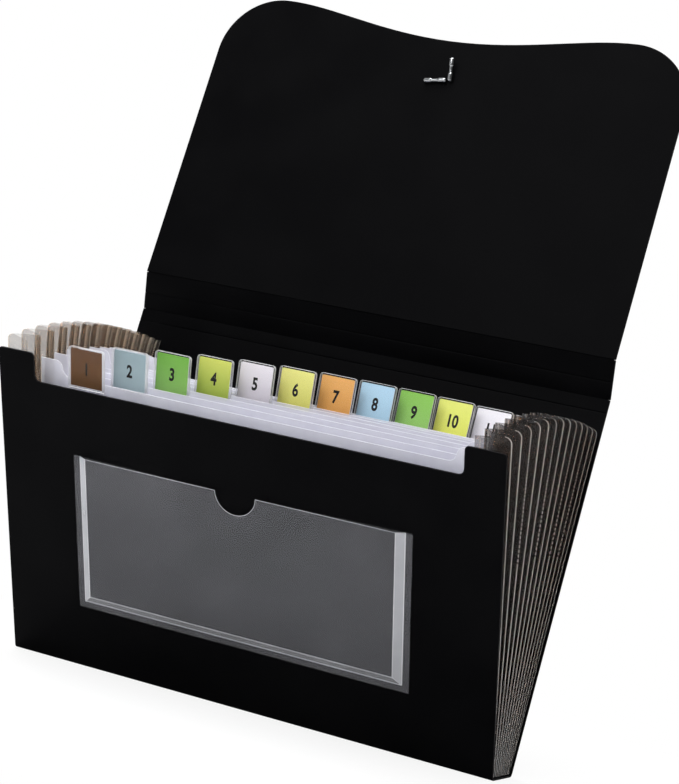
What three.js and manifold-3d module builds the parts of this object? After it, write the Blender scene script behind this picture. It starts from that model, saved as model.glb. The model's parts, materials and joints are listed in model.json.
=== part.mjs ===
// Expanding file folder: a black plastic cover folded in a V, thirteen fanned pockets between
// twelve film dividers, film gussets at both sides, index tabs with coloured cards, a clear
// label pocket on the front and a lid that folds over in two steps.
// Millimetres, +Z up, +X to the right, the front of the folder towards -Y.
// The bottom strip rests on z = 0. Every sheet is placed by the distance along its own plane
// from the bottom crease, so a lean can change without touching the outlines.

import * as THREE from 'three';
import { mergeVertices } from 'three/addons/utils/BufferGeometryUtils.js';
import Module from 'manifold-3d';

const wasm = await Module();
wasm.setup();

// Cover: one folded sheet of polypropylene
const WIDTH = 330;
const SHEET = 1;
const STRIP = 32;
const FRONT_HEIGHT = 206;
const BACK_HEIGHT = 233;
const FRONT_LEAN = 26;
const BACK_LEAN = 9.5;
const CREASE_RADIUS = 1.6;
const CREASE_SHEET = 0.7;
const EAR_WIDTH = 25;
const NOTCH_DEPTH = 18;
const EAR_CORNER = 3;
const NOTCH_CORNER = 4.5;
const SCORE_DEPTH = 0.35;
const SCORE_WIDTH = 1.2;
const SCORE_BELOW_CREASE = 9;

// Lid: a narrow spine band and the flap itself
const SPINE_HEIGHT = 25;
const SPINE_LEAN = -14;
const SPINE_SCORE = 10.5;
const FLAP_HEIGHT = 203;
const FLAP_LEAN = 11.5;
const FLAP_CORNER = 41;
const FLAP_SCOOP = 14;
const FLAP_SHOULDER = 0.72;
const FLAP_DIP = 0.42;
const HINGE_GAP = 0.3;

// Film parts
const FILM = 0.4;
const DIVIDER_SHEET = 0.5;
const POCKETS = 13;
const FAN_BIAS = 0.31;
const GUSSET_DEPTH = 20;
const GUSSET_INSET = 1;
const GUSSET_BELOW_BACK = 20.5;
const GUSSET_CORNER = 4;
const GUSSET_BOW = 0.8;
const GUSSET_CREST = 1.6;
const DIVIDER_TOP = 199;
const DIVIDER_EDGE = 189.5;
const DIVIDER_EAR = 14;
const DIVIDER_CORNER = 4;
const DIVIDER_SLOPE = 2.8;

// Index tabs: a clear sleeve with a coloured card
const TAB_WIDTH = 24.8;
const TAB_HEIGHT = 26;
const TAB_TOP = 210.6;
const TAB_FROM_LEFT = 41;
const TAB_FROM_RIGHT = 28.25;
const TAB_CORNER = 2.2;
const TAB_DEPTH = 1.6;
const TAB_FILM = 0.3;
const TAB_RIM = 1.1;
const CARD_SHEET = 0.4;

// Label pocket on the front
const LABEL_WIDTH = 215.7;
const LABEL_HEIGHT = 98.3;
const LABEL_LOW = 47.2;
const LABEL_X = -1.5;
const LABEL_BEVEL = 5;
const LABEL_RISE = 2.6;
const LABEL_FLANGE = 4.5;
const THUMB_RADIUS = 13.3;

// Metal cord tips at the flap's punched hole
const TIP_LENGTH = 16;
const TIP_RADIUS = 1.7;
const TIP_CRIMP = 1.25;
const TIP_X = 4;
const TIP_BELOW_EDGE = 29;
const TIP_SLOPE = 8;
const TIP_TURN = 95;
const TIP_LIFT = 12;
const CRIMP_FROM = 0.25;
const CRIMP_TO = 0.35;
const CAP_STEPS = 4;
const HOLE_RADIUS = 2;

// Clearance that touching pieces keep
const GAP = 0.3;

const rad = THREE.MathUtils.degToRad;
const half = WIDTH / 2;
const ROUND_STEPS = 12;

// Side view: a point at a distance along a leaning plane, and off it towards the back
function onPlane(foot, lean, along, off = 0) {
  const a = rad(lean);
  return [
    foot[0] + along * Math.sin(a) + off * Math.cos(a),
    foot[1] + along * Math.cos(a) - off * Math.sin(a),
  ];
}

const frontFoot = [-STRIP / 2, SHEET / 2];
const backFoot = [STRIP / 2, SHEET / 2];
const spineFoot = onPlane(backFoot, BACK_LEAN, BACK_HEIGHT);
const flapFoot = onPlane(spineFoot, SPINE_LEAN, SPINE_HEIGHT);

// Fan: the place of pocket plane k, from 0 at the front panel to POCKETS at the back panel.
// The front pockets stand wider open than the back ones.
function fanPlane(k) {
  const t = k / POCKETS;
  const share = t * (1 + FAN_BIAS) - FAN_BIAS * t * t;
  return {
    foot: [STRIP * (t - 0.5), SHEET / 2],
    lean: -FRONT_LEAN + (FRONT_LEAN + BACK_LEAN) * share,
  };
}

// A flat outline in (x, distance along the plane) made a sheet on a leaning plane
function placeSheet(geometry, foot, lean, off) {
  const tilt = new THREE.Matrix4().makeRotationX(rad(90 - lean));
  const [y, z] = onPlane(foot, lean, 0, off);
  const move = new THREE.Matrix4().makeTranslation(0, y, z);
  return geometry.applyMatrix4(tilt).applyMatrix4(move);
}

// The extrusion starts at the sheet's back face: +Z of the outline turns to -Y of the folder
function sheetFrom(shape, thickness, foot, lean, off = 0) {
  const geometry = new THREE.ExtrudeGeometry(shape, {
    depth: thickness, bevelEnabled: false, curveSegments: 6,
  });
  return placeSheet(geometry, foot, lean, off + thickness / 2);
}

function toSolid(geometry) {
  const bare = geometry.clone();
  bare.deleteAttribute('normal');
  bare.deleteAttribute('uv');
  const merged = mergeVertices(bare, 1e-4);
  return new wasm.Manifold(new wasm.Mesh({
    numProp: 3,
    vertProperties: new Float32Array(merged.attributes.position.array),
    triVerts: new Uint32Array(merged.index.array),
  }));
}

function toGeometry(solid) {
  const mesh = solid.getMesh();
  const geometry = new THREE.BufferGeometry();
  geometry.setAttribute('position', new THREE.BufferAttribute(new Float32Array(mesh.vertProperties), 3));
  geometry.setIndex(new THREE.BufferAttribute(new Uint32Array(mesh.triVerts), 1));
  return geometry;
}

// A closed sheet over a grid of points: face(i, j) and back(i, j) give its two sides.
// flip(i, j) chooses the other diagonal in a cell.
function gridSheet(columns, rows, face, back, flip = () => false) {
  const points = [];
  const triangles = [];
  const at = (i, j, side) => 2 * (i * rows + j) + side;
  for (let i = 0; i < columns; i++) {
    for (let j = 0; j < rows; j++) {
      points.push(...face(i, j), ...back(i, j));
    }
  }
  const quad = (a, b, c, d, other) => {
    if (other) triangles.push(a, b, d, b, c, d);
    else triangles.push(a, b, c, a, c, d);
  };
  for (let i = 0; i < columns - 1; i++) {
    for (let j = 0; j < rows - 1; j++) {
      const other = flip(i, j);
      quad(at(i, j, 0), at(i + 1, j, 0), at(i + 1, j + 1, 0), at(i, j + 1, 0), other);
      quad(at(i, j, 1), at(i, j + 1, 1), at(i + 1, j + 1, 1), at(i + 1, j, 1), other);
    }
  }
  for (let i = 0; i < columns - 1; i++) {
    const last = rows - 1;
    quad(at(i, 0, 1), at(i + 1, 0, 1), at(i + 1, 0, 0), at(i, 0, 0), false);
    quad(at(i, last, 0), at(i + 1, last, 0), at(i + 1, last, 1), at(i, last, 1), false);
  }
  for (let j = 0; j < rows - 1; j++) {
    const last = columns - 1;
    quad(at(0, j, 0), at(0, j + 1, 0), at(0, j + 1, 1), at(0, j, 1), false);
    quad(at(last, j, 1), at(last, j + 1, 1), at(last, j + 1, 0), at(last, j, 0), false);
  }
  const geometry = new THREE.BufferGeometry();
  geometry.setAttribute('position', new THREE.Float32BufferAttribute(points, 3));
  geometry.setIndex(triangles);
  return geometry;
}

const folder = new THREE.Group();

function addPiece(name, geometry, material) {
  const mesh = new THREE.Mesh(geometry, material);
  mesh.name = name;
  folder.add(mesh);
  return mesh;
}

const blackSheet = new THREE.MeshStandardMaterial({ color: 0x0b0b0d, roughness: 0.45, metalness: 0 });
const clearFilm = new THREE.MeshStandardMaterial({
  color: 0xc9c9d2, roughness: 0.25, metalness: 0, transparent: true, opacity: 0.5,
});
const gussetFilm = new THREE.MeshStandardMaterial({
  color: 0x8d8078, roughness: 0.35, metalness: 0, transparent: true, opacity: 0.7,
});
const dividerFilm = new THREE.MeshStandardMaterial({
  color: 0xd4d4de, roughness: 0.4, metalness: 0, transparent: true, opacity: 0.7,
});
const chrome = new THREE.MeshStandardMaterial({ color: 0xc8cacc, roughness: 0.15, metalness: 1 });
const cardColours = [0x7a4a1a, 0x8fa6ad, 0x6aa045, 0xc3c75c, 0xc4c0c6, 0xcfc957,
  0xdba052, 0xa9cbe0, 0x82b84e, 0xdbe065, 0xdedbe4, 0xdba052];

// A convex corner of radius r on a straight-sided outline, at point b between a and c
function roundedOutline(corners) {
  const shape = new THREE.Shape();
  const count = corners.length;
  corners.forEach(([x, y, r], n) => {
    const [px, py] = corners[(n + count - 1) % count];
    const [qx, qy] = corners[(n + 1) % count];
    const before = new THREE.Vector2(px - x, py - y).normalize();
    const after = new THREE.Vector2(qx - x, qy - y).normalize();
    const corner = new THREE.Vector2(x, y);
    const start = corner.clone().addScaledVector(before, r);
    const end = corner.clone().addScaledVector(after, r);
    if (n === 0) shape.moveTo(start.x, start.y);
    else shape.lineTo(start.x, start.y);
    if (r > 0) shape.quadraticCurveTo(x, y, end.x, end.y);
  });
  shape.closePath();
  return shape;
}

// Cover

// How far the rounding of a crease reaches along the two sheets that it joins
const frontTurn = 90 - FRONT_LEAN;
const backTurn = 90 - BACK_LEAN;
const reach = (turn) => CREASE_RADIUS * Math.tan(rad(turn) / 2);
const CREASE_TUCK = 0.8;

function frontPanel() {
  const low = reach(frontTurn);
  const inner = half - EAR_WIDTH;
  const notch = FRONT_HEIGHT - NOTCH_DEPTH;
  return sheetFrom(roundedOutline([
    [-half, low, 0], [half, low, 0],
    [half, FRONT_HEIGHT, EAR_CORNER], [inner, FRONT_HEIGHT, EAR_CORNER],
    [inner, notch, NOTCH_CORNER], [-inner, notch, NOTCH_CORNER],
    [-inner, FRONT_HEIGHT, EAR_CORNER], [-half, FRONT_HEIGHT, EAR_CORNER],
  ]), SHEET, frontFoot, -FRONT_LEAN);
}

// A section in (y, z) run across the whole width
function acrossWidth(section) {
  const shape = new THREE.Shape(section.map(([y, z]) => new THREE.Vector2(y, z)));
  const geometry = new THREE.ExtrudeGeometry(shape, { depth: WIDTH, bevelEnabled: false });
  const turn = new THREE.Matrix4().makeBasis(
    new THREE.Vector3(0, 1, 0), new THREE.Vector3(0, 0, 1), new THREE.Vector3(1, 0, 0));
  return geometry.applyMatrix4(turn).applyMatrix4(new THREE.Matrix4().makeTranslation(-half, 0, 0));
}

// Section of a flat panel on its plane, scored with a shallow groove on its inner face.
// The inner face is towards the front of the folder.
function scoredPanel(foot, lean, from, to, scores, roundFoot) {
  const outer = SHEET / 2;
  const section = [];
  const put = (along, off) => section.push(onPlane(foot, lean, along, off));
  if (roundFoot) {
    for (let n = 1; n < 6; n++) {
      const a = Math.PI * n / 6;
      put(-outer * Math.sin(a), -outer * Math.cos(a));
    }
  }
  put(from, outer);
  put(to, outer);
  put(to, -outer);
  for (const score of [...scores].sort((a, b) => b - a)) {
    put(score + SCORE_WIDTH / 2, -outer);
    put(score, -outer + SCORE_DEPTH);
    put(score - SCORE_WIDTH / 2, -outer);
  }
  put(from, -outer);
  return acrossWidth(section);
}

// The thinned, rounded crease between the bottom strip and a panel.
// side is -1 at the front and 1 at the back.
function crease(foot, lean, turn, side) {
  const thick = CREASE_SHEET / 2;
  const tangent = reach(turn);
  const centreY = foot[0] - side * tangent;
  const centreZ = foot[1] + CREASE_RADIUS;
  const steps = 8;
  const inner = [[centreY - side * CREASE_TUCK, foot[1] + thick]];
  const outer = [[centreY - side * CREASE_TUCK, foot[1] - thick]];
  for (let n = 0; n <= steps; n++) {
    const a = rad(turn) * n / steps;
    const direction = [side * Math.sin(a), -Math.cos(a)];
    inner.push([centreY + (CREASE_RADIUS - thick) * direction[0],
      centreZ + (CREASE_RADIUS - thick) * direction[1]]);
    outer.push([centreY + (CREASE_RADIUS + thick) * direction[0],
      centreZ + (CREASE_RADIUS + thick) * direction[1]]);
  }
  inner.push(onPlane(foot, side * lean, tangent + CREASE_TUCK, -side * thick));
  outer.push(onPlane(foot, side * lean, tangent + CREASE_TUCK, side * thick));
  const section = [...outer, ...inner.reverse()];
  return acrossWidth(side > 0 ? section : section.reverse());
}

function bottomStrip() {
  const from = -STRIP / 2 + reach(frontTurn);
  const to = STRIP / 2 - reach(backTurn);
  return acrossWidth([[from, 0], [to, 0], [to, SHEET], [from, SHEET]]);
}

const hingeStop = SHEET / 2 + HINGE_GAP;
const backPanel = scoredPanel(backFoot, BACK_LEAN, reach(backTurn), BACK_HEIGHT - hingeStop,
  [BACK_HEIGHT - SCORE_BELOW_CREASE], false);
const cover = [crease(frontFoot, FRONT_LEAN, frontTurn, -1), bottomStrip(),
  crease(backFoot, BACK_LEAN, backTurn, 1), backPanel]
  .reduce((whole, piece) => whole.add(toSolid(piece)), toSolid(frontPanel()));
addPiece('cover', toGeometry(cover), blackSheet);

// Lid

addPiece('flap_spine', scoredPanel(spineFoot, SPINE_LEAN, 0, SPINE_HEIGHT - hingeStop,
  [SPINE_SCORE], true), blackSheet);

const tipHeight = FLAP_HEIGHT - FLAP_SCOOP - TIP_BELOW_EDGE;

function flapOutline() {
  const top = FLAP_HEIGHT;
  const bend = half - FLAP_CORNER;
  const shape = new THREE.Shape();
  shape.moveTo(-half, 0);
  shape.lineTo(half, 0);
  shape.lineTo(half, top - FLAP_CORNER);
  shape.absarc(bend, top - FLAP_CORNER, FLAP_CORNER, 0, Math.PI / 2, false);
  shape.bezierCurveTo(bend * FLAP_SHOULDER, top, bend * FLAP_DIP, top - FLAP_SCOOP, 0, top - FLAP_SCOOP);
  shape.bezierCurveTo(-bend * FLAP_DIP, top - FLAP_SCOOP, -bend * FLAP_SHOULDER, top, -bend, top);
  shape.absarc(-bend, top - FLAP_CORNER, FLAP_CORNER, Math.PI / 2, Math.PI, false);
  shape.closePath();
  const hole = new THREE.Path();
  hole.absarc(TIP_X, tipHeight, HOLE_RADIUS, 0, Math.PI * 2, true);
  shape.holes.push(hole);
  return shape;
}

function flapSheet() {
  const geometry = new THREE.ExtrudeGeometry(flapOutline(), {
    depth: SHEET, bevelEnabled: false, curveSegments: 16,
  });
  return placeSheet(geometry, flapFoot, FLAP_LEAN, SHEET / 2);
}

// The flap's foot is rounded about the hinge line, so that it turns without touching the spine
const flapRound = acrossWidth(Array.from({ length: ROUND_STEPS }, (_, n) => {
  const a = -Math.PI * 2 * n / ROUND_STEPS;
  return onPlane(flapFoot, FLAP_LEAN, SHEET / 2 * Math.sin(a), SHEET / 2 * Math.cos(a));
}).reverse());
addPiece('flap', toGeometry(toSolid(flapSheet()).add(toSolid(flapRound))), blackSheet);

// Gussets

const gussetFoot = (SHEET / 2 + GAP + FILM) / Math.cos(rad(FRONT_LEAN));

// Half the film's width along X where it crosses a steep pleat. Low down, where the pleats
// lie nearly shut, the crest's limit makes the film thinner.
function crestAt(height) {
  const spread = STRIP + height * (Math.sin(rad(FRONT_LEAN)) + Math.sin(rad(BACK_LEAN)));
  const step = spread / (2 * POCKETS);
  return Math.min(GUSSET_CREST, FILM / 2 * Math.hypot(step, GUSSET_DEPTH) / step);
}

// The zigzag runs from the front panel to the back panel, four columns to a pocket: an inner
// fold on each divider plane, the outer fold between two of them, and half-way columns where
// the film bows out.
function gusset() {
  const perPocket = 4;
  const columns = perPocket * POCKETS + 1;
  const straightRows = 5;
  const cornerRows = 5;
  const heights = [gussetFoot];
  const straight = BACK_HEIGHT - GUSSET_BELOW_BACK - GUSSET_CORNER;
  for (let n = 1; n < straightRows; n++) {
    heights.push(gussetFoot + (straight - gussetFoot) * n / straightRows);
  }
  for (let n = 0; n <= cornerRows; n++) {
    heights.push(straight + GUSSET_CORNER * Math.sin(Math.PI / 2 * n / cornerRows));
  }
  const point = (i, j, side) => {
    const plane = fanPlane(i / perPocket);
    const crest = crestAt(heights[j]);
    const above = Math.max(0, heights[j] - straight);
    const rounding = GUSSET_CORNER - Math.sqrt(Math.max(0, GUSSET_CORNER ** 2 - above ** 2));
    const outer = half - GUSSET_INSET - rounding - crest;
    const inner = half - GUSSET_DEPTH + crest;
    const middle = (inner + outer) / 2 + GUSSET_BOW;
    const x = [inner, middle, outer, middle][i % perPocket];
    const ends = SHEET / 2 + GAP + FILM / 2;
    const fromFront = Math.max(0, 1 - i / perPocket);
    const fromBack = Math.max(0, 1 - (columns - 1 - i) / perPocket);
    const [y, z] = onPlane(plane.foot, plane.lean, heights[j], ends * (fromFront - fromBack));
    return [x + side * crest, y, z];
  };
  return gridSheet(columns, heights.length, (i, j) => point(i, j, 1), (i, j) => point(i, j, -1));
}

// The same piece for the other side: mirrored across the middle, its faces turned out again
function mirrored(geometry) {
  const copy = geometry.clone().applyMatrix4(new THREE.Matrix4().makeScale(-1, 1, 1));
  const index = copy.index.array;
  for (let n = 0; n < index.length; n += 3) [index[n], index[n + 1]] = [index[n + 1], index[n]];
  return copy;
}

const gussetSheet = gusset();
addPiece('bellows_left', mirrored(gussetSheet), gussetFilm);
addPiece('bellows_right', gussetSheet, gussetFilm);

// Dividers with their tabs

const dividerHalf = half - GUSSET_DEPTH - GAP - FILM / 4;

function divider(plane) {
  const low = (SHEET / 2 + GAP + DIVIDER_SHEET / 4) / Math.cos(rad(plane.lean));
  const inner = dividerHalf - DIVIDER_EAR;
  return sheetFrom(roundedOutline([
    [-dividerHalf, low, 0], [dividerHalf, low, 0],
    [dividerHalf, DIVIDER_TOP, 0], [inner, DIVIDER_TOP, DIVIDER_CORNER],
    [inner - DIVIDER_SLOPE, DIVIDER_EDGE, DIVIDER_CORNER], [-inner + DIVIDER_SLOPE, DIVIDER_EDGE, DIVIDER_CORNER],
    [-inner, DIVIDER_TOP, DIVIDER_CORNER], [-dividerHalf, DIVIDER_TOP, 0],
  ]), DIVIDER_SHEET, plane.foot, plane.lean);
}

function tabOutline(x, low, width, height, corner) {
  return roundedOutline([
    [x, low, 0], [x + width, low, 0],
    [x + width, low + height, corner], [x, low + height, corner],
  ]);
}

// The sleeve stands in front of its divider and is open at the top, where the card slips in
const sleeveOff = -(DIVIDER_SHEET / 2 + GAP + TAB_DEPTH / 2);
const tabLow = TAB_TOP - TAB_HEIGHT;
const tabFirst = -half + TAB_FROM_LEFT;
const tabLast = half - TAB_FROM_RIGHT - TAB_WIDTH;
const tabPitch = (tabLast - tabFirst) / (POCKETS - 2);

function tabSleeve(plane, x) {
  const body = sheetFrom(tabOutline(x, tabLow, TAB_WIDTH, TAB_HEIGHT, TAB_CORNER),
    TAB_DEPTH, plane.foot, plane.lean, sleeveOff);
  const slot = sheetFrom(tabOutline(x + TAB_RIM, tabLow + TAB_RIM,
    TAB_WIDTH - 2 * TAB_RIM, TAB_HEIGHT, 0),
    TAB_DEPTH - 2 * TAB_FILM, plane.foot, plane.lean, sleeveOff);
  return toGeometry(toSolid(body).subtract(toSolid(slot)));
}

function tabCard(plane, x) {
  const edge = TAB_RIM + GAP;
  return sheetFrom(tabOutline(x + edge, tabLow + edge,
    TAB_WIDTH - 2 * edge, TAB_HEIGHT - edge - TAB_RIM, TAB_CORNER / 2),
    CARD_SHEET, plane.foot, plane.lean, sleeveOff);
}

for (let k = 1; k < POCKETS; k++) {
  const plane = fanPlane(k);
  const x = tabFirst + (k - 1) * tabPitch;
  const number = String(k).padStart(2, '0');
  const cardPaper = new THREE.MeshStandardMaterial({
    color: cardColours[(k - 1) % cardColours.length], roughness: 0.8, metalness: 0,
  });
  addPiece(`divider_${number}`, divider(plane), dividerFilm);
  addPiece(`tab_sleeve_${number}`, tabSleeve(plane, x), clearFilm);
  addPiece(`tab_card_${number}`, tabCard(plane, x), cardPaper);
}

// Label pocket: a formed film tray, welded at its flange on three sides and open at the top

function labelPocket() {
  const left = LABEL_X - LABEL_WIDTH / 2;
  const right = LABEL_X + LABEL_WIDTH / 2;
  const top = LABEL_LOW + LABEL_HEIGHT;
  const arcSteps = 14;
  const xs = [left - LABEL_FLANGE, left, left + LABEL_BEVEL];
  for (let n = 0; n <= arcSteps; n++) xs.push(LABEL_X - THUMB_RADIUS * Math.cos(Math.PI * n / arcSteps));
  xs.push(right - LABEL_BEVEL, right, right + LABEL_FLANGE);
  const rows = [LABEL_LOW - LABEL_FLANGE, LABEL_LOW, LABEL_LOW + LABEL_BEVEL, top - THUMB_RADIUS - LABEL_BEVEL, top];
  const ramp = (distance) => LABEL_RISE * THREE.MathUtils.clamp(distance / LABEL_BEVEL, 0, 1);
  const point = (i, j, lift) => {
    const x = xs[i];
    const rise = Math.min(ramp(x - left), ramp(right - x), ramp(rows[j] - LABEL_LOW));
    const across = Math.abs(x - LABEL_X) / THUMB_RADIUS;
    const cut = j === rows.length - 1 && across < 1 ? THUMB_RADIUS * Math.sqrt(1 - across ** 2) : 0;
    const [y, z] = onPlane(frontFoot, -FRONT_LEAN, rows[j] - cut,
      -(SHEET / 2 + GAP + rise + lift));
    return [x, y, z];
  };
  return gridSheet(xs.length, rows.length,
    (i, j) => point(i, j, FILM), (i, j) => point(i, j, 0),
    (i, j) => xs[i] > LABEL_X);
}

addPiece('label_pocket', labelPocket(), clearFilm);

// Metal cord tips: short turned bars, crimped in the middle

function tipBar() {
  const end = TIP_LENGTH / 2;
  const profile = [new THREE.Vector2(0, -end)];
  for (let n = 1; n <= CAP_STEPS; n++) {
    const a = Math.PI / 2 * n / CAP_STEPS;
    profile.push(new THREE.Vector2(TIP_RADIUS * Math.sin(a), -end + TIP_RADIUS * (1 - Math.cos(a))));
  }
  profile.push(new THREE.Vector2(TIP_RADIUS, -end * CRIMP_TO), new THREE.Vector2(TIP_CRIMP, -end * CRIMP_FROM));
  profile.push(new THREE.Vector2(TIP_CRIMP, end * CRIMP_FROM), new THREE.Vector2(TIP_RADIUS, end * CRIMP_TO));
  for (let n = CAP_STEPS; n >= 1; n--) {
    const a = Math.PI / 2 * n / CAP_STEPS;
    profile.push(new THREE.Vector2(TIP_RADIUS * Math.sin(a), end - TIP_RADIUS * (1 - Math.cos(a))));
  }
  profile.push(new THREE.Vector2(0, end));
  return new THREE.LatheGeometry(profile, 16);
}

// In the flap's own frame: x across, y up the flap, z towards the reader
const flapFrame = new THREE.Group();
flapFrame.position.set(0, flapFoot[0], flapFoot[1]);
flapFrame.rotation.x = rad(90 - FLAP_LEAN);
folder.add(flapFrame);

const tipSeat = SHEET / 2 + GAP + TIP_RADIUS;
const flatTip = new THREE.Mesh(tipBar(), chrome);
flatTip.name = 'cord_tip_flat';
flatTip.position.set(TIP_X - TIP_LENGTH / 2 + TIP_RADIUS, tipHeight, tipSeat);
flatTip.rotation.z = Math.PI / 2 + rad(TIP_SLOPE);
flapFrame.add(flatTip);

// The other tip stands up from the end of the first, its far end lifted off the flap
const uprightTip = new THREE.Mesh(tipBar(), chrome);
const tipRise = TIP_LENGTH / 2 * Math.sin(rad(TIP_LIFT));
const tipRun = TIP_LENGTH / 2 * Math.cos(rad(TIP_TURN));
uprightTip.name = 'cord_tip_upright';
uprightTip.position.set(TIP_X + 2 * (TIP_RADIUS + GAP) + tipRun, tipHeight + TIP_LENGTH / 2,
  tipSeat + tipRise);
uprightTip.rotation.set(rad(TIP_LIFT), 0, rad(TIP_TURN - 90));
flapFrame.add(uprightTip);

// The folder stands with the middle of its outline over the origin
const box = new THREE.Box3().setFromObject(folder);
folder.position.y = -(box.min.y + box.max.y) / 2;
folder.position.z = -box.min.z;

export default folder;
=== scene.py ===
# Expanding file folder standing open on its bottom strip, with its lid up.
# Lengths in the sizes below are millimetres; Blender's own units are metres.
import math
import bpy
from mathutils import Matrix, Vector
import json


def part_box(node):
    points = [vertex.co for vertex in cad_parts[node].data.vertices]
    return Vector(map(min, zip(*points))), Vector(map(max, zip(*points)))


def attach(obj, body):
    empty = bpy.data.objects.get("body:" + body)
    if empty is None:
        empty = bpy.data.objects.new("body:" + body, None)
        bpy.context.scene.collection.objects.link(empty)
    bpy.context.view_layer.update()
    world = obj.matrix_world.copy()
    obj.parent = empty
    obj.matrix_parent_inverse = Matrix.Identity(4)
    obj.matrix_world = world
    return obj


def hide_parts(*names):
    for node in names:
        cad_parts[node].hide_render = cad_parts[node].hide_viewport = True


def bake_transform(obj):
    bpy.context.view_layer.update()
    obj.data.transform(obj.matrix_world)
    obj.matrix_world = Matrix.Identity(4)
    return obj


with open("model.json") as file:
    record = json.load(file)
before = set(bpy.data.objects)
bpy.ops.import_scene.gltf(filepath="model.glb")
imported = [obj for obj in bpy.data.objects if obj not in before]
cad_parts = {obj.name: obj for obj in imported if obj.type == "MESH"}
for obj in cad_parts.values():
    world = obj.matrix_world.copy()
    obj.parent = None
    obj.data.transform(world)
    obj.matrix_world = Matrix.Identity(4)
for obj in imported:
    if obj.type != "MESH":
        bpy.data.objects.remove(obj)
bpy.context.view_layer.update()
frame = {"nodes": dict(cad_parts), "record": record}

MM = 0.001

# Sizes that the finer pieces share with the solids
WIDTH = 330.0
SHEET = 1.0
STRIP = 32.0
FRONT_HEIGHT = 206.0
FRONT_LEAN = 26.0
BACK_LEAN = 9.5
SPINE_LEAN = -14.0
FLAP_LEAN = 11.5
POCKETS = 13
FAN_BIAS = 0.31
GUSSET_DEPTH = 20.0
GUSSET_INSET = 1.0
GUSSET_TOP = 212.5
GUSSET_CORNER = 4.0
GAP = 0.3
TAB_WIDTH = 24.8
TAB_HEIGHT = 26.0
TAB_TOP = 210.6
TAB_FROM_LEFT = 41.0
TAB_FROM_RIGHT = 28.25
SLEEVE_DEPTH = 1.6
CARD_SHEET = 0.4
DIVIDER_SHEET = 0.5
LABEL_WIDTH = 215.7
LABEL_LOW = 47.2
LABEL_X = -1.5
LABEL_BEVEL = 5.0

# The left edges of the first and the last tab, and the step between two tabs
TAB_FIRST = TAB_FROM_LEFT - WIDTH / 2
TAB_LAST = WIDTH / 2 - TAB_FROM_RIGHT - TAB_WIDTH
TAB_PITCH = (TAB_LAST - TAB_FIRST) / (POCKETS - 2)


# Places

def on_plane(foot, lean, along, off=0.0):
    """A point in the side view: a distance up a leaning plane, and off it towards the back."""
    a = math.radians(lean)
    return (foot[0] + along * math.sin(a) + off * math.cos(a),
            foot[1] + along * math.cos(a) - off * math.sin(a))


front_top = STRIP / 2 + FRONT_HEIGHT * math.sin(math.radians(FRONT_LEAN))
front_top += SHEET / 2 * math.cos(math.radians(FRONT_LEAN))
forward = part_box("cover")[0].y / MM + front_top
front_foot = (forward - STRIP / 2, SHEET / 2)


def fan_plane(k):
    """Foot and lean of pocket plane k, from 0 at the front panel to POCKETS at the back panel."""
    t = k / POCKETS
    share = t * (1 + FAN_BIAS) - FAN_BIAS * t * t
    foot = (forward + STRIP * (t - 0.5), SHEET / 2)
    return foot, -FRONT_LEAN + (FRONT_LEAN + BACK_LEAN) * share


def at(x, side):
    """Metres from a place across the folder and a point of the side view."""
    return Vector((x * MM, side[0] * MM, side[1] * MM))


# Camera: the photograph's view, rolled a little to the left

PHOTO_LONG_SIDE = 784
VIEW_AZIMUTH = math.radians(24.306)
VIEW_ELEVATION = math.radians(-0.471)
VIEW_ROLL = math.radians(11.971)
VIEW_DISTANCE = 1.300
VIEW_TARGET = Vector((0.01674, 0.0, 0.20084))
FOCAL_PIXELS = 2145.5
SENSOR = 36.0


def make_camera():
    data = bpy.data.cameras.new("camera")
    data.sensor_width = SENSOR
    data.lens = FOCAL_PIXELS / PHOTO_LONG_SIDE * SENSOR
    camera = bpy.data.objects.new("camera", data)
    bpy.context.scene.collection.objects.link(camera)
    forward_axis = Vector((-math.sin(VIEW_AZIMUTH) * math.cos(VIEW_ELEVATION),
                           math.cos(VIEW_AZIMUTH) * math.cos(VIEW_ELEVATION),
                           -math.sin(VIEW_ELEVATION)))
    level = Vector((math.cos(VIEW_AZIMUTH), math.sin(VIEW_AZIMUTH), 0.0))
    upright = level.cross(forward_axis)
    right = level * math.cos(VIEW_ROLL) + upright * math.sin(VIEW_ROLL)
    up = upright * math.cos(VIEW_ROLL) - level * math.sin(VIEW_ROLL)
    turn = Matrix((right, up, -forward_axis)).transposed()
    place = VIEW_TARGET - forward_axis * VIEW_DISTANCE
    camera.matrix_world = Matrix.Translation(place) @ turn.to_4x4()
    bpy.context.scene.camera = camera


make_camera()


# Materials

def linear(code):
    """Linear colour from an sRGB hex value."""
    channels = [int(code[n:n + 2], 16) / 255 for n in (1, 3, 5)]
    return (*(c / 12.92 if c <= 0.04045 else ((c + 0.055) / 1.055) ** 2.4 for c in channels), 1.0)


def add(tree, kind, inputs=None, **settings):
    """Adds a node with its settings; an input is a value or the socket that feeds it."""
    made = tree.nodes.new(kind)
    for key, value in settings.items():
        setattr(made, key, value)
    for key, value in (inputs or {}).items():
        if isinstance(value, bpy.types.NodeSocket):
            tree.links.new(value, made.inputs[key])
        else:
            made.inputs[key].default_value = value
    return made


def new_material(name):
    material = bpy.data.materials.new(name)
    material.use_nodes = True
    tree = material.node_tree
    tree.nodes.clear()
    return material, tree


def close(tree, shader):
    add(tree, "ShaderNodeOutputMaterial", {"Surface": shader.outputs[0]})


def coordinates(tree, kind):
    """The X, Y and Z sockets of one kind of texture coordinates."""
    source = add(tree, "ShaderNodeTexCoord").outputs[kind]
    return add(tree, "ShaderNodeSeparateXYZ", {0: source}).outputs


def maths(tree, operation, first, second=0.0, clamp=False):
    return add(tree, "ShaderNodeMath", {0: first, 1: second}, operation=operation,
               use_clamp=clamp).outputs[0]


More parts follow.
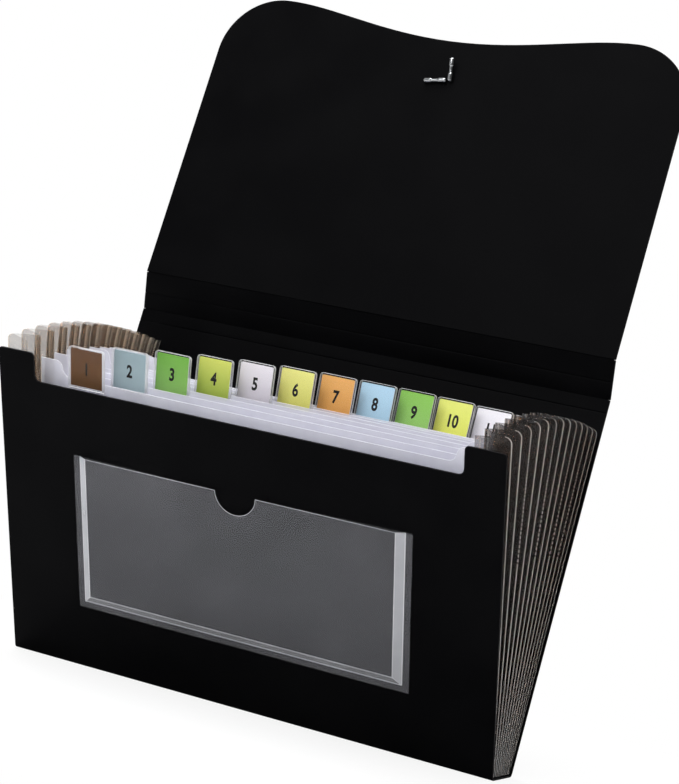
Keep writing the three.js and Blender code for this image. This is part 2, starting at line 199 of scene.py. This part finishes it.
def times(tree, first, *others):
    for other in others:
        first = maths(tree, "MULTIPLY", first, other)
    return first


def blend_colour(tree, share, low, high):
    mix = add(tree, "ShaderNodeMix", {"Factor": share}, data_type="RGBA")
    for socket, value in ((mix.inputs[6], low), (mix.inputs[7], high)):
        if isinstance(value, bpy.types.NodeSocket):
            tree.links.new(value, socket)
        else:
            socket.default_value = value
    return mix.outputs[2]


def noise(tree, feature_mm, detail):
    """Noise whose features are about this many millimetres across."""
    where = add(tree, "ShaderNodeTexCoord").outputs["Object"]
    return add(tree, "ShaderNodeTexNoise",
               {"Vector": where, "Scale": 1 / (feature_mm * MM), "Detail": detail}).outputs[0]


def spread(tree, value, low, high, to_low, to_high):
    """The value carried over from one range to another, and held at the ends."""
    return add(tree, "ShaderNodeMapRange",
               {0: value, 1: low, 2: high, 3: to_low, 4: to_high}).outputs[0]


def bump(tree, height, depth_mm, strength):
    return add(tree, "ShaderNodeBump",
               {"Height": height, "Distance": depth_mm * MM, "Strength": strength}).outputs[0]


def extruded_polypropylene(name, dark, light, gloss):
    """Extruded polypropylene sheet: black, satin, with the faint orange-peel grain of the roller.
    The real grain of about 0.2 mm is drawn at 0.9 mm, so that it shows."""
    material, tree = new_material(name)
    cloud = noise(tree, 45.0, 3.0)
    grain = noise(tree, 0.9, 1.0)
    share = spread(tree, cloud, 0.35, 0.65, 0.0, 1.0)
    colour = blend_colour(tree, share, linear(dark), linear(light))
    rough = spread(tree, cloud, 0.3, 0.7, gloss - 0.04, gloss + 0.06)
    shader = add(tree, "ShaderNodeBsdfPrincipled", {
        "Base Color": colour, "Roughness": rough, "IOR": 1.49, "Specular IOR Level": 0.02,
        "Normal": bump(tree, grain, 0.03, 0.35)})
    close(tree, shader)
    return material


def worn_edge():
    """The cut edge of the black sheet, painted grey as a highlight along it, so it shows as a thin grey
    line.
    """
    material, tree = new_material("polypropylene_cut_edge_painted_highlight")
    highlight_patches = noise(tree, 6.0, 2.0)
    colour = blend_colour(tree, highlight_patches, linear("#1a1a1c"), linear("#38383b"))
    shader = add(tree, "ShaderNodeBsdfPrincipled", {
        "Base Color": colour, "Roughness": 0.38, "IOR": 1.49, "Specular IOR Level": 0.22})
    close(tree, shader)
    return material


# Welds of the film parts, drawn coarser than the real ones so that they show
STITCH_PITCH = 2.6
TOOTH_PITCH = 2.4

# Where a pleat's marks lie, as shares of the way from its outer fold to its inner fold
OUTER_FOLD_END = 0.035
INNER_FOLD_START = 0.97
WELD_START = 0.80
WELD_END = 0.87
WELD_SOFT = 0.01
# Below this share of the height the pleats are too close for a weld to show
WELD_FOOT = 0.45


def gusset_film(name, dark, light, fold, cover):
    """Smoke-tinted polypropylene film, creased by heat: see-through, and milky along each fold,
    with the dotted line of the ultrasonic weld beside the inner folds. On some pleats the
    weld's stitches break up the outer fold too."""
    material, tree = new_material(name)
    place = coordinates(tree, "UV")
    across, up = place[0], place[1]
    pleats = times(tree, across, float(POCKETS))
    off_middle = maths(tree, "SUBTRACT", maths(tree, "FRACT", pleats), 0.5)
    from_outer = times(tree, maths(tree, "ABSOLUTE", off_middle), 2.0)
    outer_fold = spread(tree, from_outer, OUTER_FOLD_END / 3, OUTER_FOLD_END, 1.0, 0.0)
    inner_fold = spread(tree, from_outer, INNER_FOLD_START, INNER_FOLD_START + 0.02, 0.0, 0.35)

    upper = maths(tree, "GREATER_THAN", up, WELD_FOOT)
    stitch = maths(tree, "FRACT", times(tree, up, GUSSET_TOP / STITCH_PITCH))
    weld_row = times(tree, spread(tree, from_outer, WELD_START, WELD_START + WELD_SOFT, 0.0, 1.0),
                     spread(tree, from_outer, WELD_END - WELD_SOFT, WELD_END, 1.0, 0.0))
    weld = times(tree, weld_row, upper, maths(tree, "GREATER_THAN", stitch, 0.5))

    pleat_draw = maths(tree, "FRACT", times(tree, maths(tree, "FLOOR", pleats), 0.37))
    broken = maths(tree, "GREATER_THAN", pleat_draw, 0.6)
    gaps = times(tree, broken, upper, maths(tree, "LESS_THAN", stitch, 0.4))
    # Painted shade: the milky outer folds are dimmed towards the back of the gusset
    painted_back_shade = spread(tree, across, 0.2, 0.9, 1.0, 0.3)
    outer_fold = times(tree, outer_fold, maths(tree, "SUBTRACT", 1.0, gaps), painted_back_shade)

    milky = maths(tree, "MAXIMUM", maths(tree, "MAXIMUM", outer_fold, inner_fold),
                  times(tree, weld, 0.7), clamp=True)
    haze = noise(tree, 30.0, 3.0)
    smoke = blend_colour(tree, haze, linear(dark), linear(light))
    colour = blend_colour(tree, milky, smoke, linear(fold))
    alpha = maths(tree, "ADD", spread(tree, haze, 0.3, 0.7, cover - 0.03, cover + 0.03),
                  times(tree, milky, 0.5), clamp=True)
    shader = add(tree, "ShaderNodeBsdfPrincipled", {
        "Base Color": colour, "Alpha": alpha, "Roughness": 0.3, "IOR": 1.49,
        "Subsurface Weight": 0.75, "Subsurface Radius": (1.0, 0.75, 0.62), "Subsurface Scale": 2.0 * MM,
        "Specular IOR Level": 0.25, "Normal": bump(tree, noise(tree, 9.0, 2.0), 0.25, 0.3)})
    close(tree, shader)
    return material


def frosted_film():
    """Frosted polypropylene film of the dividers: milky, faintly lavender, finely ribbed."""
    material, tree = new_material("frosted_divider_film")
    haze = noise(tree, 25.0, 3.0)
    rib = noise(tree, 1.2, 1.0)
    colour = blend_colour(tree, haze, linear("#e6e6f4"), linear("#f2f2fc"))
    alpha = spread(tree, haze, 0.3, 0.7, 0.4, 0.48)
    shader = add(tree, "ShaderNodeBsdfPrincipled", {
        "Base Color": colour, "Alpha": alpha, "Roughness": 0.42, "IOR": 1.49,
        "Subsurface Weight": 0.4, "Subsurface Radius": (1.0, 1.0, 1.0), "Subsurface Scale": 1.5 * MM,
        "Specular IOR Level": 0.3, "Normal": bump(tree, rib, 0.05, 0.4)})
    close(tree, shader)
    return material


def clear_film(name, tint, alpha_low, alpha_high, gloss):
    """Clear rigid film: mostly see-through, with a faint grey haze that shows over black."""
    material, tree = new_material(name)
    haze = noise(tree, 35.0, 3.0)
    alpha = spread(tree, haze, 0.3, 0.7, alpha_low, alpha_high)
    shade = tuple(c * 0.9 for c in linear(tint)[:3]) + (1.0,)
    colour = blend_colour(tree, haze, shade, linear(tint))
    shader = add(tree, "ShaderNodeBsdfPrincipled", {
        "Base Color": colour, "Alpha": alpha, "Roughness": gloss, "IOR": 1.5,
        "Specular IOR Level": 0.3, "Normal": bump(tree, noise(tree, 2.5, 1.0), 0.02, 0.15)})
    close(tree, shader)
    return material


def welded_flange(name, axis):
    """Clear film pressed down by a toothed welding bar: unseen but for its rows of milky teeth,
    which lie side by side along this axis (0 for X, 2 for Z)."""
    material, tree = new_material(name)
    along = coordinates(tree, "Object")[axis]
    tooth = maths(tree, "FRACT", maths(tree, "DIVIDE", along, TOOTH_PITCH * MM))
    teeth = maths(tree, "GREATER_THAN", tooth, 0.55)
    wear = noise(tree, 3.0, 2.0)
    alpha = maths(tree, "ADD", 0.003, times(tree, teeth, spread(tree, wear, 0.35, 0.65, 0.08, 0.2)))
    shader = add(tree, "ShaderNodeBsdfPrincipled", {
        "Base Color": blend_colour(tree, wear, linear("#c4c4c8"), linear("#e8e8ec")), "Alpha": alpha,
        "Roughness": 0.35, "IOR": 1.5, "Specular IOR Level": 0.2,
        "Normal": bump(tree, teeth, 0.2, 0.4)})
    close(tree, shader)
    return material


def index_card(name, top, bottom, low_z, high_z):
    """Dyed index card: matt, evenly coloured, with painted shade that makes it a little darker towards
    its foot where the sleeve shades it, and with the faint fibre of the paper."""
    material, tree = new_material(name)
    up = spread(tree, coordinates(tree, "Object")[2], low_z, high_z, 0.0, 1.0)
    fibre = noise(tree, 1.1, 3.0)
    base = blend_colour(tree, up, linear(bottom), linear(top))
    colour = blend_colour(tree, times(tree, fibre, 0.03), base, linear("#ffffff"))
    shader = add(tree, "ShaderNodeBsdfPrincipled", {
        "Base Color": colour, "Roughness": 0.8, "IOR": 1.45, "Specular IOR Level": 0.1,
        "Normal": bump(tree, fibre, 0.03, 0.3)})
    close(tree, shader)
    return material


def printing_ink():
    """Black printing ink on the cards, with a slight unevenness of cover."""
    material, tree = new_material("black_printing_ink")
    colour = blend_colour(tree, noise(tree, 1.5, 2.0), linear("#0c0c0c"), linear("#1b1a1a"))
    shader = add(tree, "ShaderNodeBsdfPrincipled", {
        "Base Color": colour, "Roughness": 0.6, "IOR": 1.45, "Specular IOR Level": 0.2})
    close(tree, shader)
    return material


def chrome_plate():
    """Bright chrome plate on stamped steel, with the fine drawing marks of the wire. Its grey is
    painted darker than the plate's own, as a painted reflection of dark surroundings.
    """
    material, tree = new_material("chrome_plated_steel")
    marks = noise(tree, 0.7, 2.0)
    # Painted reflection: these greys are darker than the chrome's own
    colour = blend_colour(tree, marks, linear("#6c6e70"), linear("#a8aaac"))
    rough = spread(tree, marks, 0.3, 0.7, 0.08, 0.18)
    shader = add(tree, "ShaderNodeBsdfPrincipled", {
        "Base Color": colour, "Metallic": 1.0, "Roughness": rough,
        "Normal": bump(tree, marks, 0.02, 0.2)})
    close(tree, shader)
    return material


BLACK = extruded_polypropylene("extruded_black_polypropylene", "#030304", "#060607", 0.5)
# The cut edges of the black sheet carry a painted grey highlight
EDGE = worn_edge()
# The same film in two copies with painted light and shade: the left gusset is painted lighter, as light
# that shines through it, and the right one darker, as the folder's own shade
GUSSET_FILMS = {
    "bellows_left": gusset_film("smoke_film_with_painted_light", "#4f463d", "#625749", "#d6cabb", 0.17),
    "bellows_right": gusset_film("smoke_film_with_painted_shade", "#1f1e1e", "#2b2a2a", "#b4b2b0", 0.34)}
FROSTED = frosted_film()
LABEL_FACE = clear_film("clear_label_film", "#c6c7cf", 0.06, 0.075, 0.34)
# The slopes carry painted light and show lighter than the face; the low slope, which faces down, is
# painted dimmer as shade
LABEL_SLOPE = clear_film("clear_label_film_side_slope_painted_light", "#dfe0e6", 0.34, 0.42, 0.25)
LABEL_LOW_SLOPE = clear_film("clear_label_film_low_slope_painted_dim_light", "#d0d1d8", 0.17, 0.22, 0.25)
# The folds of the label pocket carry a painted white highlight
LABEL_FOLD = clear_film("clear_film_fold_painted_highlight", "#ececf0", 0.5, 0.62, 0.25)
SLEEVE = clear_film("clear_sleeve_film", "#f4f5f8", 0.004, 0.01, 0.16)
# Painted white highlights along the cut edges of the sleeves and the dividers
SLEEVE_EDGE = clear_film("clear_sleeve_edge_painted_highlight", "#fdfdff", 0.55, 0.7, 0.16)
FROSTED_EDGE = clear_film("frosted_film_cut_edge_painted_highlight", "#f6f6fb", 0.6, 0.75, 0.3)
WELD_COLUMN = welded_flange("welded_side_flange", 2)
WELD_ROW = welded_flange("welded_low_flange", 0)
INK = printing_ink()
CHROME = chrome_plate()


# Modelling helpers

MERGE_DISTANCE = 0.005
FLAT_ANGLE = math.radians(0.6)
EDGE_ANGLE = math.radians(20)
SMOOTH_ANGLE = math.radians(35)
ROUND_SMOOTH_ANGLE = math.radians(50)


def only(piece):
    """Makes this object the one that is selected and active."""
    bpy.ops.object.select_all(action="DESELECT")
    piece.select_set(True)
    bpy.context.view_layer.objects.active = piece


def apply_modifiers(piece):
    only(piece)
    for name in [m.name for m in piece.modifiers]:
        bpy.ops.object.modifier_apply(modifier=name)


def paint(piece, *materials):
    piece.data.materials.clear()
    for material in materials:
        piece.data.materials.append(material)


def new_grid(name, columns, rows):
    """A flat grid from -1 to 1 both ways, for bending into shape."""
    bpy.ops.object.select_all(action="DESELECT")
    bpy.ops.mesh.primitive_grid_add(x_subdivisions=columns, y_subdivisions=rows, size=2,
                                    calc_uvs=True)
    piece = bpy.context.active_object
    piece.name = name
    return piece


def thicken(piece, thickness):
    """Gives a sheet its thickness, half on either side."""
    wall = piece.modifiers.new("wall", "SOLIDIFY")
    wall.thickness = thickness * MM
    wall.offset = 0
    apply_modifiers(piece)


def rounded_copy(node, name, body, materials, bevel, segments=2, keeps_edge=None):
    """A finer copy of a solid: its triangles merged to clean faces, its edges rounded. A second
    material goes on the rounded edges, or only on those whose place passes keeps_edge."""
    piece = bpy.data.objects.new(name, frame["nodes"][node].data.copy())
    bpy.context.scene.collection.objects.link(piece)
    only(piece)
    bpy.ops.object.mode_set(mode="EDIT")
    bpy.ops.mesh.select_all(action="SELECT")
    bpy.ops.mesh.remove_doubles(threshold=MERGE_DISTANCE * MM)
    bpy.ops.mesh.dissolve_limited(angle_limit=FLAT_ANGLE)
    bpy.ops.object.mode_set(mode="OBJECT")
    paint(piece, *materials)
    for face in piece.data.polygons:
        face.material_index = 0
    bpy.ops.object.shade_smooth_by_angle(angle=SMOOTH_ANGLE)
    edge_material = 1 if len(materials) > 1 else -1
    rounding = piece.modifiers.new("rounding", "BEVEL")
    rounding.width = bevel * MM
    rounding.segments = segments
    rounding.limit_method = "ANGLE"
    rounding.angle_limit = EDGE_ANGLE
    rounding.material = edge_material
    rounding.harden_normals = True
    apply_modifiers(piece)
    for face in piece.data.polygons:
        if keeps_edge and face.material_index == edge_material and not keeps_edge(face.center):
            face.material_index = 0
    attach(piece, body)
    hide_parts(node)
    return piece


# Cover and lid

# The painted grey highlight of the cut edge shows only beyond these places, in metres, so that the
# creases stay black
SIDE_EDGE = (WIDTH / 2 - SHEET) * MM
FRONT_RIM = 0.15
FLAP_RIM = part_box("flap")[0].z + 0.01


def at_side(place):
    return abs(place.x) > SIDE_EDGE


def at_front_rim(place):
    return place.z > FRONT_RIM and place.y < 0


rounded_copy("cover", "folder_cover", "folder", (BLACK, EDGE), bevel=0.18,
             keeps_edge=lambda place: at_side(place) or at_front_rim(place))
rounded_copy("flap_spine", "lid_spine", "spine", (BLACK, EDGE), bevel=0.12,
             keeps_edge=at_side)
rounded_copy("flap", "lid_flap", "lid", (BLACK, EDGE), bevel=0.18,
             keeps_edge=lambda place: place.z > FLAP_RIM)


# Living hinges: the creased web that the lid turns on

WEB_REACH = 2.0
WEB_SHEET = 0.3
WEB_ROWS = 16
hinge_places = {joint["name"]: Vector(joint["pos_m"]) / MM
                for joint in frame["record"]["behaviour"]["joints"]}


def make_hinge_web(name, joint, lean_below, lean_above):
    """A strip of the black sheet, thinned by the crease, that runs from one panel into the next."""
    axis = hinge_places[joint]
    piece = new_grid(name, 1, WEB_ROWS)
    for vertex in piece.data.vertices:
        along = vertex.co.y * WEB_REACH
        lean = lean_below if along < 0 else lean_above
        vertex.co = at(vertex.co.x * (WIDTH / 2 - SHEET), on_plane((axis.y, axis.z), lean, along))
    thicken(piece, WEB_SHEET)
    bpy.ops.object.shade_smooth_by_angle(angle=SMOOTH_ANGLE)
    paint(piece, BLACK)
    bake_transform(piece)


make_hinge_web("spine_hinge_web", "spine_fold", BACK_LEAN, SPINE_LEAN)
make_hinge_web("flap_hinge_web", "flap_fold", SPINE_LEAN, FLAP_LEAN)


# Gussets

# The film, a little thinner than in the solids
GUSSET_FILM = 0.3
PLEAT_COLUMNS = 16
GUSSET_ROWS = 56
# How much of a pleat's curve is a soft wave, and the rest a sharp zigzag
PLEAT_WAVE = 0.3
# The rows are packed closer towards the rounded top corners by this power
ROW_CROWDING = 1.6


def gusset_point(side, u, v):
    """A point of the pleated film from its place across the pleats and up the side, both 0 to 1."""
    foot_height = (SHEET / 2 + GAP + GUSSET_FILM) / math.cos(math.radians(FRONT_LEAN))
    height = foot_height + (GUSSET_TOP - foot_height) * v
    k = u * POCKETS
    foot, lean = fan_plane(k)
    zigzag = 1 - abs((2 * k) % 2 - 1)
    wave = 0.5 - 0.5 * math.cos(math.pi * zigzag)
    out = (1 - PLEAT_WAVE) * zigzag + PLEAT_WAVE * wave
    above = max(0.0, height - (GUSSET_TOP - GUSSET_CORNER))
    rounding = GUSSET_CORNER - math.sqrt(max(0.0, GUSSET_CORNER ** 2 - above ** 2))
    inner = WIDTH / 2 - GUSSET_DEPTH
    outer = WIDTH / 2 - GUSSET_INSET - rounding
    x = inner + (outer - inner) * out
    ends = SHEET / 2 + GAP + GUSSET_FILM
    shift = ends * (max(0.0, 1 - k) - max(0.0, 1 - (POCKETS - k)))
    return at(side * x, on_plane(foot, lean, height, shift))


def make_gusset(node, side):
    """A gusset as one pleated sheet; side is -1 at the left and 1 at the right."""
    piece = new_grid("pleated_" + node, PLEAT_COLUMNS * POCKETS, GUSSET_ROWS)
    for vertex in piece.data.vertices:
        u = (vertex.co.x + 1) / 2
        v = (vertex.co.y + 1) / 2
        vertex.co = gusset_point(side, u, 1 - (1 - v) ** ROW_CROWDING)
    thicken(piece, GUSSET_FILM)
    bpy.ops.object.mode_set(mode="EDIT")
    bpy.ops.mesh.select_all(action="SELECT")
    bpy.ops.mesh.normals_make_consistent(inside=False)
    bpy.ops.object.mode_set(mode="OBJECT")
    bpy.ops.object.shade_smooth_by_angle(angle=ROUND_SMOOTH_ANGLE)
    paint(piece, GUSSET_FILMS[node])
    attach(piece, "folder")
    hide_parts(node)


make_gusset("bellows_left", -1)
make_gusset("bellows_right", 1)


# Label pocket

# A face is a slope where the cosine between its normal and the panel's is under this
SLOPE_LIMIT = 0.965
# The weld starts this far outside the pocket's edge
WELD_SEAM = 0.4
LABEL_MATERIALS = (LABEL_FACE, LABEL_FOLD, LABEL_SLOPE, LABEL_LOW_SLOPE, WELD_COLUMN, WELD_ROW)
FACE, FOLD, SIDE_SLOPE, LOW_SLOPE, SIDE_WELD, LOW_WELD = range(len(LABEL_MATERIALS))


def make_label():
    """The label pocket, with its own look on the face, the folds, the slopes and the welds: a painted
    highlight on the folds, painted light on the slopes, dimmer on the low slope as painted shade.
    """
    piece = rounded_copy("label_pocket", "label_window", "folder",
                         LABEL_MATERIALS, bevel=0.28)
    lean = math.radians(FRONT_LEAN)
    panel_up = Vector((0.0, -math.sin(lean), math.cos(lean)))
    panel_out = Vector((0.0, -math.cos(lean), -math.sin(lean)))
    for face in piece.data.polygons:
        beside = abs(face.center.x / MM - LABEL_X) - LABEL_WIDTH / 2
        under = LABEL_LOW - (face.center - at(0, front_foot)).dot(panel_up) / MM
        if beside > WELD_SEAM:
            face.material_index = SIDE_WELD
        elif under > WELD_SEAM:
            face.material_index = LOW_WELD
        elif face.material_index == FACE and abs(face.normal.dot(panel_out)) < SLOPE_LIMIT:
            face.material_index = SIDE_SLOPE if beside > -LABEL_BEVEL else LOW_SLOPE


make_label()


# Dividers, sleeves and cards

# Each card's colour at its top and at its foot, blended up the card as painted shade and light
CARD_TINTS = (("#4c2c0c", "#623f17"), ("#8fa3ab", "#a6bbc1"), ("#6aa83c", "#8cc062"),
              ("#d0d765", "#9cb340"), ("#ece7ee", "#cdc7d0"), ("#ece988", "#d8d566"),
              ("#edb065", "#dd9c4c"), ("#b8dcf2", "#aed2e8"), ("#8cc858", "#98cc6c"),
              ("#ecf27c", "#e4e862"), ("#faf8fe", "#e6e2ec"), ("#edb065", "#dd9c4c"))
NUMBER_HEIGHT = 7.4
NUMBER_SHEET = 0.05
NUMBER_BOLD = 0.36
NUMBER_NARROW = 0.74
# Digits take up this share of the font's size
DIGIT_SHARE = 0.7
# The number's middle, as a share of the tab's height below its top
NUMBER_DOWN = 0.52
# A sleeve's face is a cut edge where the cosine between its normal and the tab's is under this
EDGE_LIMIT = 0.5


def make_number(k, foot, lean):
    """The card's number, printed bold and narrow on its front face."""
    bpy.ops.object.select_all(action="DESELECT")
    bpy.ops.object.text_add()
    piece = bpy.context.active_object
    piece.name = f"tab_number_{k:02d}"
    piece.data.body = str(k)
    piece.data.align_x = "CENTER"
    piece.data.align_y = "CENTER"
    piece.data.size = NUMBER_HEIGHT / DIGIT_SHARE * MM
    piece.data.offset = NUMBER_BOLD * MM
    piece.data.extrude = NUMBER_SHEET / 2 * MM
    piece.data.resolution_u = 6
    bpy.ops.object.convert(target="MESH")
    piece = bpy.context.active_object
    middle = TAB_FIRST + (k - 1) * TAB_PITCH + TAB_WIDTH / 2
    up = TAB_TOP - TAB_HEIGHT * NUMBER_DOWN
    face = -(DIVIDER_SHEET / 2 + GAP + SLEEVE_DEPTH / 2) - CARD_SHEET / 2 - NUMBER_SHEET / 2
    turn = Matrix.Rotation(math.radians(90 - lean), 4, "X")
    narrow = Matrix.Diagonal((NUMBER_NARROW, 1.0, 1.0, 1.0))
    place = Matrix.Translation(at(middle, on_plane(foot, lean, up, face)))
    piece.data.transform(place @ turn @ narrow)
    paint(piece, INK)
    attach(piece, "folder")


def make_divider(k):
    """Pocket divider k with its tab: the frosted sheet, the sleeve, the card and its number."""
    foot, lean = fan_plane(k)
    card_node = frame["nodes"][f"tab_card_{k:02d}"]
    low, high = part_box(f"tab_card_{k:02d}")
    paint(card_node, index_card(f"dyed_card_painted_shading_{k:02d}", *CARD_TINTS[k - 1], low.z, high.z))
    rounded_copy(f"divider_{k:02d}", f"frosted_divider_{k:02d}", "folder",
                 (FROSTED, FROSTED_EDGE), bevel=0.11)
    sleeve = rounded_copy(f"tab_sleeve_{k:02d}", f"clear_sleeve_{k:02d}", "folder",
                          (SLEEVE, SLEEVE_EDGE), bevel=0.2)
    slope = math.radians(lean)
    tab_out = Vector((0.0, -math.cos(slope), math.sin(slope)))
    # The sleeve's cut edges get the painted white highlight
    for face in sleeve.data.polygons:
        if abs(face.normal.dot(tab_out)) < EDGE_LIMIT:
            face.material_index = 1
    make_number(k, foot, lean)


for k in range(1, POCKETS):
    make_divider(k)


# Cord tips, and the hole that they are at

for tip in ("cord_tip_flat", "cord_tip_upright"):
    rounded_copy(tip, tip.replace("cord", "crimped"), "lid", (CHROME,), bevel=0.15,
                 segments=3)

HOLE_X = 4.0
HOLE_RADIUS = 2.0
HOLE_HEIGHT = 160.0
STOPPER_DEPTH = 1.7
STOPPER_ROUNDING = 0.5
RIM_ANGLE = math.radians(60)


def make_hole_stopper():
    """The black rubber stopper that closes the punched hole between the two tips."""
    bpy.ops.object.select_all(action="DESELECT")
    bpy.ops.mesh.primitive_cylinder_add(vertices=32, radius=HOLE_RADIUS * MM,
                                        depth=STOPPER_DEPTH * MM)
    piece = bpy.context.active_object
    piece.name = "hole_stopper"
    rounding = piece.modifiers.new("rounding", "BEVEL")
    rounding.width = STOPPER_ROUNDING * MM
    rounding.segments = 4
    rounding.angle_limit = RIM_ANGLE
    apply_modifiers(piece)
    bpy.ops.object.shade_smooth_by_angle(angle=ROUND_SMOOTH_ANGLE)
    foot = hinge_places["flap_fold"]
    turn = Matrix.Rotation(math.radians(90 - FLAP_LEAN), 4, "X")
    place = Matrix.Translation(at(HOLE_X, on_plane((foot.y, foot.z), FLAP_LEAN, HOLE_HEIGHT)))
    piece.data.transform(place @ turn)
    paint(piece, BLACK)
    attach(piece, "lid")


make_hole_stopper()


# Floor, world and lights

# The floor is mostly white glow, which takes over from paper between these distances in metres
SHADE_NEAR = 0.1
SHADE_GONE = 0.36
GLOW_NEAR = 0.85
# The room's light is strong at the left and held off by a black flag towards the right
ROOM_LEFT = 0.82
ROOM_RIGHT = 0.1
FLAG_START = -0.6
FLAG_END = 0.8
WHITE = (1.0, 1.0, 1.0, 1.0)
LIGHT_TARGET = (0.0, 0.0, 0.2)


def looked_at(tree):
    """1 where the camera looks, straight or through a film, and 0 for the light that falls."""
    rays = add(tree, "ShaderNodeLightPath").outputs
    return maths(tree, "MAXIMUM", rays["Is Camera Ray"], rays["Is Transmission Ray"])


def make_floor():
    """White paper that takes a faint shadow near the object and is pure white farther off."""
    bpy.ops.object.select_all(action="DESELECT")
    bpy.ops.mesh.primitive_plane_add(size=12)
    floor = bpy.context.active_object
    floor.name = "floor"
    material, tree = new_material("white_paper_sweep")
    paper = add(tree, "ShaderNodeBsdfDiffuse", {"Color": linear("#f4f4f4")})
    glow = add(tree, "ShaderNodeEmission", {"Color": WHITE, "Strength": 1.0})
    place = add(tree, "ShaderNodeTexCoord").outputs["Object"]
    away = add(tree, "ShaderNodeVectorMath", {0: place}, operation="LENGTH").outputs["Value"]
    share = times(tree, looked_at(tree),
                  spread(tree, away, SHADE_NEAR, SHADE_GONE, GLOW_NEAR, 1.0))
    close(tree, add(tree, "ShaderNodeMixShader",
                    {0: share, 1: paper.outputs[0], 2: glow.outputs[0]}))
    paint(floor, material)


def make_world():
    """A white room: even and bright to look at, brighter from the left as a source of light."""
    world = bpy.data.worlds.new("studio")
    bpy.context.scene.world = world
    world.use_nodes = True
    tree = world.node_tree
    tree.nodes.clear()
    across = coordinates(tree, "Generated")[0]
    flagged = spread(tree, across, FLAG_START, FLAG_END, ROOM_LEFT, ROOM_RIGHT)
    room = add(tree, "ShaderNodeBackground", {"Color": WHITE, "Strength": flagged})
    backdrop = add(tree, "ShaderNodeBackground", {"Color": WHITE, "Strength": 1.0})
    mixed = add(tree, "ShaderNodeMixShader",
                {0: looked_at(tree), 1: room.outputs[0], 2: backdrop.outputs[0]})
    add(tree, "ShaderNodeOutputWorld", {"Surface": mixed.outputs[0]})


def make_light(name, place, size, power):
    data = bpy.data.lights.new(name, "AREA")
    data.shape = "SQUARE"
    data.size = size
    data.energy = power
    light = bpy.data.objects.new(name, data)
    bpy.context.scene.collection.objects.link(light)
    light.location = place
    direction = Vector(LIGHT_TARGET) - Vector(place)
    light.rotation_mode = "QUATERNION"
    light.rotation_quaternion = direction.to_track_quat("-Z", "Y")


make_floor()
make_world()
make_light("key_softbox", (-1.1, 0.9, 1.2), size=0.9, power=24.0)
make_light("fill_softbox", (-0.35, -1.5, 1.2), size=0.8, power=14.0)
make_light("top_softbox", (0.0, -0.2, 1.5), size=0.8, power=18.0)
bpy.context.scene.view_settings.view_transform = "Standard"
